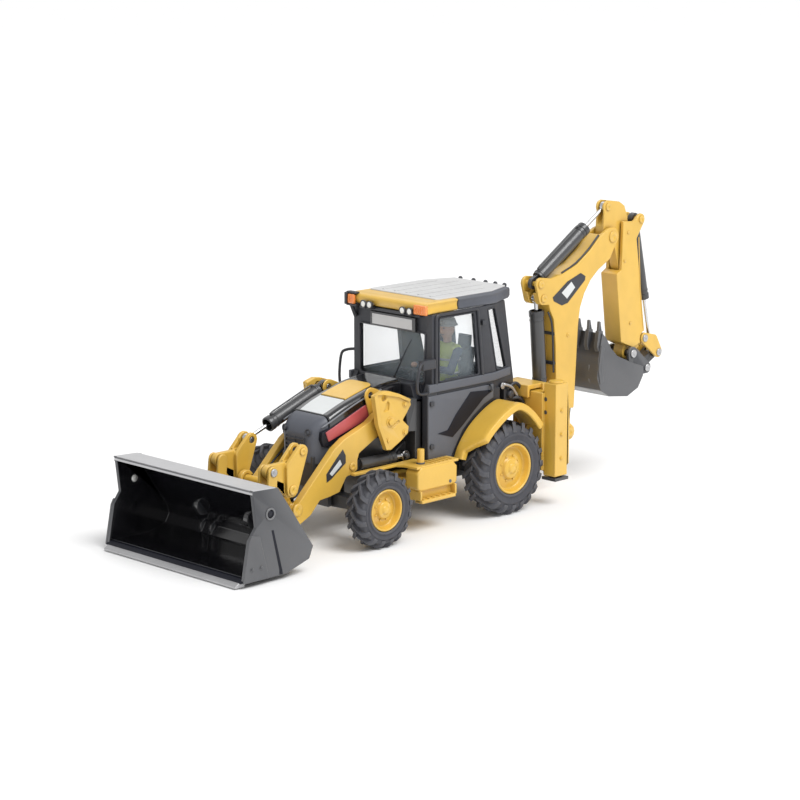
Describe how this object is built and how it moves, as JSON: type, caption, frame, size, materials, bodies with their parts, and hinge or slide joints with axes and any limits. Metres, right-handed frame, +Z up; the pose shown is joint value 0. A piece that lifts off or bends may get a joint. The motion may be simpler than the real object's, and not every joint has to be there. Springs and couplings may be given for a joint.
{
  "type": "toy backhoe loader",
  "caption": "Scale model of a wheeled backhoe loader with a tilting front bucket on lift arms, a glazed cab, and a side-shifting digging arm at the rear.",
  "frame": {"origin": "on the ground under the middle of the model's bounding box", "axes": "+X to the machine's left, -Y forward (front bucket), +Y towards the digging arm, +Z up"},
  "size_m": [0.048, 0.1566, 0.0723],
  "materials": {
    "yellow_paint": "satin",
    "black_plastic": "satin",
    "grey_plastic": "matte",
    "black_paint": "satin",
    "bucket_paint": "gloss",
    "tyre_rubber": "matte",
    "bright_steel": "polished",
    "orange_lens": "gloss",
    "clear_lens": "gloss",
    "window_glass": "gloss",
    "figure_plastic": "matte"
  },
  "bodies": {
    "machine": {"chassis_frame": "black_paint", "hood": "yellow_paint", "front_grille": "grey_plastic", "cab_frame": "black_plastic", "glazing": "window_glass", "roof": "yellow_paint", "front_lamps": "clear_lens", "indicator_left": "orange_lens", "indicator_right": "orange_lens", "seat": "black_plastic", "steering_wheel": "black_plastic", "operator": "figure_plastic", "tower_left": "yellow_paint", "tower_right": "yellow_paint", "step_left": "yellow_paint", "step_right": "yellow_paint", "fender_left": "yellow_paint", "fender_right": "yellow_paint", "side_shift_frame": "yellow_paint"},
    "front_axle": {"front_axle": "black_paint"},
    "knuckle_left": {"knuckle_left": "black_paint"},
    "knuckle_right": {"knuckle_right": "black_paint"},
    "wheel_front_left": {"tyre_front_left": "tyre_rubber", "rim_front_left": "yellow_paint"},
    "wheel_front_right": {"tyre_front_right": "tyre_rubber", "rim_front_right": "yellow_paint"},
    "wheel_rear_left": {"tyre_rear_left": "tyre_rubber", "rim_rear_left": "yellow_paint"},
    "wheel_rear_right": {"tyre_rear_right": "tyre_rubber", "rim_rear_right": "yellow_paint"},
    "loader_arms": {"loader_arms": "yellow_paint"},
    "bell_cranks": {"bell_cranks": "yellow_paint"},
    "tilt_link_left": {"tilt_link_left": "yellow_paint"},
    "tilt_link_right": {"tilt_link_right": "yellow_paint"},
    "loader_bucket": {"bucket_shell": "bucket_paint", "cutting_edge": "bright_steel"},
    "lift_barrel_left": {"lift_barrel_left": "black_paint"},
    "lift_barrel_right": {"lift_barrel_right": "black_paint"},
    "lift_rod_left": {"lift_rod_left": "bright_steel"},
    "lift_rod_right": {"lift_rod_right": "bright_steel"},
    "tilt_base_pin": {"tilt_base_pin": "bright_steel"},
    "tilt_rod_pin": {"tilt_rod_pin": "bright_steel"},
    "tilt_barrel": {"tilt_barrel": "black_paint"},
    "tilt_rod": {"tilt_rod": "bright_steel"},
    "carriage": {"carriage": "yellow_paint"},
    "kingpost": {"kingpost": "yellow_paint"},
    "boom": {"boom": "yellow_paint"},
    "boom_barrel": {"boom_barrel": "black_paint"},
    "boom_rod": {"boom_rod": "bright_steel"},
    "main_stick": {"main_stick": "yellow_paint"},
    "stick_barrel": {"stick_barrel": "black_paint"},
    "stick_rod": {"stick_rod": "bright_steel"},
    "extending_stick": {"extending_stick": "yellow_paint"},
    "scoop_barrel": {"scoop_barrel": "black_paint"},
    "scoop_rod": {"scoop_rod": "bright_steel"},
    "bucket_lever": {"bucket_lever": "yellow_paint"},
    "bucket_link": {"bucket_link": "black_paint"},
    "hoe_bucket": {"hoe_bucket": "bucket_paint"},
    "stabiliser_leg_left": {"stabiliser_leg_left": "black_paint"},
    "stabiliser_leg_right": {"stabiliser_leg_right": "black_paint"}
  },
  "joints": [
    {"name": "axle_tilt", "type": "hinge", "parent": "machine", "child": "front_axle", "pos_m": [0, -0.03078, 0.00905], "axis": [0, 1, 0], "range_deg": [-8, 8]},
    {"name": "steer_left", "type": "hinge", "parent": "front_axle", "child": "knuckle_left", "pos_m": [0.0138, -0.03078, 0.00905], "axis": [0, 0, 1], "range_deg": [-25, 25]},
    {"name": "steer_right", "type": "hinge", "parent": "front_axle", "child": "knuckle_right", "pos_m": [-0.0138, -0.03078, 0.00905], "axis": [0, 0, 1], "range_deg": [-25, 25]},
    {"name": "spin_front_left", "type": "hinge", "parent": "knuckle_left", "child": "wheel_front_left", "pos_m": [0.0191, -0.03078, 0.00905], "axis": [1, 0, 0], "continuous": true},
    {"name": "spin_front_right", "type": "hinge", "parent": "knuckle_right", "child": "wheel_front_right", "pos_m": [-0.0191, -0.03078, 0.00905], "axis": [1, 0, 0], "continuous": true},
    {"name": "spin_rear_left", "type": "hinge", "parent": "machine", "child": "wheel_rear_left", "pos_m": [0.0173, 0.01323, 0.01145], "axis": [1, 0, 0], "continuous": true},
    {"name": "spin_rear_right", "type": "hinge", "parent": "machine", "child": "wheel_rear_right", "pos_m": [-0.0173, 0.01323, 0.01145], "axis": [1, 0, 0], "continuous": true},
    {"name": "lift", "type": "hinge", "parent": "machine", "child": "loader_arms", "pos_m": [0, -0.01997, 0.0268], "axis": [-1, 0, 0], "range_deg": [0, 50]},
    {"name": "lift_rod_left_pivot", "type": "hinge", "parent": "machine", "child": "lift_rod_left", "pos_m": [0.0087, -0.01227, 0.017], "axis": [-1, 0, 0], "range_deg": [-0.3, 27.55]},
    {"name": "lift_barrel_left_pivot", "type": "hinge", "parent": "loader_arms", "child": "lift_barrel_left", "pos_m": [0.0087, -0.03027, 0.0174], "axis": [-1, 0, 0], "range_deg": [-23.05, 0.3]},
    {"name": "lift_rod_right_pivot", "type": "hinge", "parent": "machine", "child": "lift_rod_right", "pos_m": [-0.0087, -0.01227, 0.017], "axis": [-1, 0, 0], "range_deg": [-0.3, 27.55]},
    {"name": "lift_barrel_right_pivot", "type": "hinge", "parent": "loader_arms", "child": "lift_barrel_right", "pos_m": [-0.0087, -0.03027, 0.0174], "axis": [-1, 0, 0], "range_deg": [-23.05, 0.3]},
    {"name": "tilt_base_turn", "type": "hinge", "parent": "machine", "child": "tilt_base_pin", "pos_m": [-0.0087, -0.02198, 0.0328], "axis": [-1, 0, 0], "range_deg": [-0.3, 54.75]},
    {"name": "tilt_rod_turn", "type": "hinge", "parent": "bell_cranks", "child": "tilt_rod_pin", "pos_m": [-0.0087, -0.04668, 0.0237], "axis": [-1, 0, 0], "range_deg": [-0.3, 4.75]},
    {"name": "bucket_tilt", "type": "hinge", "parent": "loader_arms", "child": "loader_bucket", "pos_m": [0, -0.05237, 0.0054], "axis": [1, 0, 0], "range_deg": [-18, 30]},
    {"name": "crank_pivot", "type": "hinge", "parent": "loader_arms", "child": "bell_cranks", "pos_m": [0, -0.04977, 0.0152], "axis": [1, 0, 0], "range_deg": [-14.34, 23.7]},
    {"name": "tilt_link_left_pivot", "type": "hinge", "parent": "bell_cranks", "child": "tilt_link_left", "pos_m": [0.0087, -0.05577, 0.0203], "axis": [1, 0, 0], "range_deg": [-26.64, 16.1]},
    {"name": "tilt_link_right_pivot", "type": "hinge", "parent": "bell_cranks", "child": "tilt_link_right", "pos_m": [-0.0087, -0.05577, 0.0203], "axis": [1, 0, 0], "range_deg": [-26.64, 16.1]},
    {"name": "tilt_barrel_pivot", "type": "hinge", "parent": "tilt_base_pin", "child": "tilt_barrel", "pos_m": [-0.0087, -0.02198, 0.0328], "axis": [1, 0, 0], "range_deg": [-4.65, 2.91]},
    {"name": "tilt_rod_pivot", "type": "hinge", "parent": "tilt_rod_pin", "child": "tilt_rod", "pos_m": [-0.0087, -0.04668, 0.0237], "axis": [1, 0, 0], "range_deg": [-28.05, 16.95]},
    {"name": "side_shift", "type": "slide", "parent": "machine", "child": "carriage", "axis": [1, 0, 0], "range_m": [-0.022, 0]},
    {"name": "swing", "type": "hinge", "parent": "carriage", "child": "kingpost", "pos_m": [0.011, 0.03572, 0.015], "axis": [0, 0, 1], "range_deg": [-75, 75]},
    {"name": "boom_pivot", "type": "hinge", "parent": "kingpost", "child": "boom", "pos_m": [0.011, 0.04152, 0.015], "axis": [1, 0, 0], "range_deg": [-40, 0]},
    {"name": "boom_barrel_pivot", "type": "hinge", "parent": "kingpost", "child": "boom_barrel", "pos_m": [0.011, 0.03352, 0.0265], "axis": [1, 0, 0], "range_deg": [-52.82, 0.3]},
    {"name": "boom_rod_pivot", "type": "hinge", "parent": "boom", "child": "boom_rod", "pos_m": [0.011, 0.03152, 0.0503], "axis": [1, 0, 0], "range_deg": [-12.82, 0.3]},
    {"name": "stick_pivot", "type": "hinge", "parent": "boom", "child": "main_stick", "pos_m": [0.011, 0.05742, 0.0631], "axis": [1, 0, 0], "range_deg": [-6, 35]},
    {"name": "stick_barrel_pivot", "type": "hinge", "parent": "boom", "child": "stick_barrel", "pos_m": [0.011, 0.03043, 0.0539], "axis": [1, 0, 0], "range_deg": [-0.69, 2.56]},
    {"name": "stick_rod_pivot", "type": "hinge", "parent": "main_stick", "child": "stick_rod", "pos_m": [0.011, 0.05693, 0.0706], "axis": [1, 0, 0], "range_deg": [-33.04, 5.91]},
    {"name": "stick_extension", "type": "slide", "parent": "main_stick", "child": "extending_stick", "axis": [0, 0.1637, -0.9865], "range_m": [0, 0.02]},
    {"name": "scoop_pivot", "type": "hinge", "parent": "extending_stick", "child": "hoe_bucket", "pos_m": [0.011, 0.06502, 0.0321], "axis": [1, 0, 0], "range_deg": [-8, 45]},
    {"name": "lever_pivot", "type": "hinge", "parent": "extending_stick", "child": "bucket_lever", "pos_m": [0.011, 0.07093, 0.0353], "axis": [1, 0, 0], "range_deg": [-8.3, 45.3]},
    {"name": "link_pivot", "type": "hinge", "parent": "bucket_lever", "child": "bucket_link", "pos_m": [0.011, 0.07662, 0.0309], "axis": [1, 0, 0], "range_deg": [-45.3, 8.3]},
    {"name": "scoop_barrel_pivot", "type": "hinge", "parent": "extending_stick", "child": "scoop_barrel", "pos_m": [0.011, 0.06853, 0.0665], "axis": [1, 0, 0], "range_deg": [-1.18, 5.27]},
    {"name": "scoop_rod_pivot", "type": "hinge", "parent": "bucket_lever", "child": "scoop_rod", "pos_m": [0.011, 0.07662, 0.0309], "axis": [1, 0, 0], "range_deg": [-40.33, 7.42]},
    {"name": "stabiliser_left", "type": "slide", "parent": "machine", "child": "stabiliser_leg_left", "axis": [0, 0, -1], "range_m": [0, 0.0062]},
    {"name": "stabiliser_right", "type": "slide", "parent": "machine", "child": "stabiliser_leg_right", "axis": [0, 0, -1], "range_m": [0, 0.0062]}
  ],
  "couplings": [
    {"joint": "steer_right", "follows": "steer_left", "ratio": 1},
    {"joint": "lift_rod_left_pivot", "follows": "lift", "ratio": 0.545},
    {"joint": "lift_barrel_left_pivot", "follows": "lift", "ratio": -0.455},
    {"joint": "lift_rod_right_pivot", "follows": "lift", "ratio": 0.545},
    {"joint": "lift_barrel_right_pivot", "follows": "lift", "ratio": -0.455},
    {"joint": "tilt_base_turn", "follows": "lift", "ratio": 1.089},
    {"joint": "tilt_rod_turn", "follows": "lift", "ratio": 0.089},
    {"joint": "crank_pivot", "follows": "bucket_tilt", "ratio": 0.78},
    {"joint": "tilt_link_left_pivot", "follows": "bucket_tilt", "ratio": -0.878},
    {"joint": "tilt_link_right_pivot", "follows": "bucket_tilt", "ratio": -0.878},
    {"joint": "tilt_barrel_pivot", "follows": "bucket_tilt", "ratio": -0.145},
    {"joint": "tilt_rod_pivot", "follows": "bucket_tilt", "ratio": -0.925},
    {"joint": "boom_barrel_pivot", "follows": "boom_pivot", "ratio": 1.313},
    {"joint": "boom_rod_pivot", "follows": "boom_pivot", "ratio": 0.313},
    {"joint": "stick_barrel_pivot", "follows": "stick_pivot", "ratio": 0.0646},
    {"joint": "stick_rod_pivot", "follows": "stick_pivot", "ratio": -0.9354},
    {"joint": "lever_pivot", "follows": "scoop_pivot", "ratio": 1},
    {"joint": "link_pivot", "follows": "scoop_pivot", "ratio": -1},
    {"joint": "scoop_barrel_pivot", "follows": "scoop_pivot", "ratio": 0.1105},
    {"joint": "scoop_rod_pivot", "follows": "scoop_pivot", "ratio": -0.8895}
  ]
}
